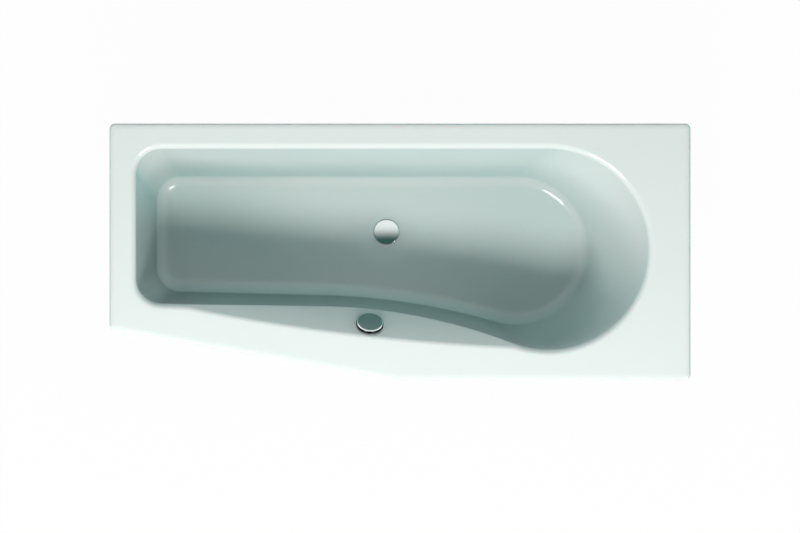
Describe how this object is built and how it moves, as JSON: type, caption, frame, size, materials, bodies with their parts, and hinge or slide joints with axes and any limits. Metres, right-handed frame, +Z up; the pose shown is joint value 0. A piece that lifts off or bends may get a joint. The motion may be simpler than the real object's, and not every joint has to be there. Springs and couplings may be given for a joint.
{
  "type": "bathtub",
  "caption": "Asymmetric enamelled steel bath, wide at the head and narrow at the foot, with a rotary overflow that lifts the plug, a trap and screw feet.",
  "frame": {"origin": "on the floor, under the middle of the rim's bounding rectangle", "axes": "+Z up, +X to the wide head end, +Y to the wall side"},
  "size_m": [1.7, 0.75, 0.6002],
  "materials": {
    "enamel": "gloss",
    "chrome": "polished",
    "stainless": "satin",
    "zinc_steel": "satin",
    "white_plastic": "satin",
    "grey_plastic": "satin",
    "hose_plastic": "satin",
    "cable_plastic": "satin",
    "foot_plastic": "matte",
    "ferrule_metal": "satin",
    "seal_rubber": "matte",
    "sole_rubber": "matte",
    "pad_rubber": "matte",
    "damping_mat": "matte"
  },
  "bodies": {
    "bath": {"body_gasket": "seal_rubber", "bowden_sheath": "cable_plastic", "cable_ferrules": "ferrule_metal", "earth_lug": "zinc_steel", "flange_gasket": "seal_rubber", "flange_screws": "stainless", "foot_rail_foot": "zinc_steel", "foot_rail_head": "zinc_steel", "hose_nuts": "white_plastic", "lever_pin": "stainless", "lock_nuts": "zinc_steel", "outlet_pipe": "white_plastic", "overflow_body": "grey_plastic", "overflow_flange": "grey_plastic", "overflow_gasket": "seal_rubber", "overflow_hose": "hose_plastic", "overflow_screws": "stainless", "rail_pads": "pad_rubber", "rail_weld_nuts": "zinc_steel", "sound_mats": "damping_mat", "trap_body": "white_plastic", "trap_nuts": "white_plastic", "tub_shell": "enamel", "waste_body": "white_plastic", "waste_flange": "stainless"},
    "knob": {"overflow_knob": "chrome", "knob_hub": "grey_plastic", "cable_drum": "grey_plastic"},
    "plug": {"waste_plug": "chrome", "plug_seal": "seal_rubber", "plug_stem": "stainless"},
    "lever": {"lift_lever": "grey_plastic"},
    "foot_1": {"foot_pad_1": "foot_plastic", "foot_sole_1": "sole_rubber"},
    "spindle_1": {"foot_spindle_1": "zinc_steel"},
    "foot_2": {"foot_pad_2": "foot_plastic", "foot_sole_2": "sole_rubber"},
    "spindle_2": {"foot_spindle_2": "zinc_steel"},
    "foot_3": {"foot_pad_3": "foot_plastic", "foot_sole_3": "sole_rubber"},
    "spindle_3": {"foot_spindle_3": "zinc_steel"},
    "foot_4": {"foot_pad_4": "foot_plastic", "foot_sole_4": "sole_rubber"},
    "spindle_4": {"foot_spindle_4": "zinc_steel"}
  },
  "joints": [
    {"name": "knob_turn", "type": "hinge", "parent": "bath", "child": "knob", "pos_m": [-0.0888, -0.21423, 0.56462], "axis": [-0.0789, -0.715, -0.6947], "range_deg": [0, 110]},
    {"name": "plug_lift", "type": "slide", "parent": "bath", "child": "plug", "axis": [0, 0, 1], "range_m": [0, 0.0122]},
    {"name": "lever_rock", "type": "hinge", "parent": "bath", "child": "lever", "pos_m": [-0.0395, 0.083, 0.15], "axis": [-1, 0, 0], "range_deg": [0, 28.1]},
    {"name": "foot_1_adjust", "type": "slide", "parent": "bath", "child": "foot_1", "axis": [0, 0, -1], "range_m": [-0.012, 0.025]},
    {"name": "spindle_1_turn", "type": "hinge", "parent": "foot_1", "child": "spindle_1", "pos_m": [0.2602, -0.258, 0.1], "axis": [0, 0, -1], "range_deg": [-2900, 6020]},
    {"name": "foot_2_adjust", "type": "slide", "parent": "bath", "child": "foot_2", "axis": [0, 0, -1], "range_m": [-0.012, 0.025]},
    {"name": "spindle_2_turn", "type": "hinge", "parent": "foot_2", "child": "spindle_2", "pos_m": [0.2602, 0.262, 0.1], "axis": [0, 0, -1], "range_deg": [-2900, 6020]},
    {"name": "foot_3_adjust", "type": "slide", "parent": "bath", "child": "foot_3", "axis": [0, 0, -1], "range_m": [-0.012, 0.025]},
    {"name": "spindle_3_turn", "type": "hinge", "parent": "foot_3", "child": "spindle_3", "pos_m": [-0.47986, -0.19, 0.1], "axis": [0, 0, -1], "range_deg": [-2900, 6020]},
    {"name": "foot_4_adjust", "type": "slide", "parent": "bath", "child": "foot_4", "axis": [0, 0, -1], "range_m": [-0.012, 0.025]},
    {"name": "spindle_4_turn", "type": "hinge", "parent": "foot_4", "child": "spindle_4", "pos_m": [-0.47986, 0.262, 0.1], "axis": [0, 0, -1], "range_deg": [-2900, 6020]}
  ],
  "couplings": [
    {"joint": "plug_lift", "follows": "knob_turn", "m_per_rad": 0.0063005},
    {"joint": "lever_rock", "follows": "knob_turn", "ratio": 0.25455},
    {"joint": "spindle_1_turn", "follows": "foot_1_adjust", "rad_per_m": 4188.8},
    {"joint": "spindle_2_turn", "follows": "foot_2_adjust", "rad_per_m": 4188.8},
    {"joint": "spindle_3_turn", "follows": "foot_3_adjust", "rad_per_m": 4188.8},
    {"joint": "spindle_4_turn", "follows": "foot_4_adjust", "rad_per_m": 4188.8}
  ]
}
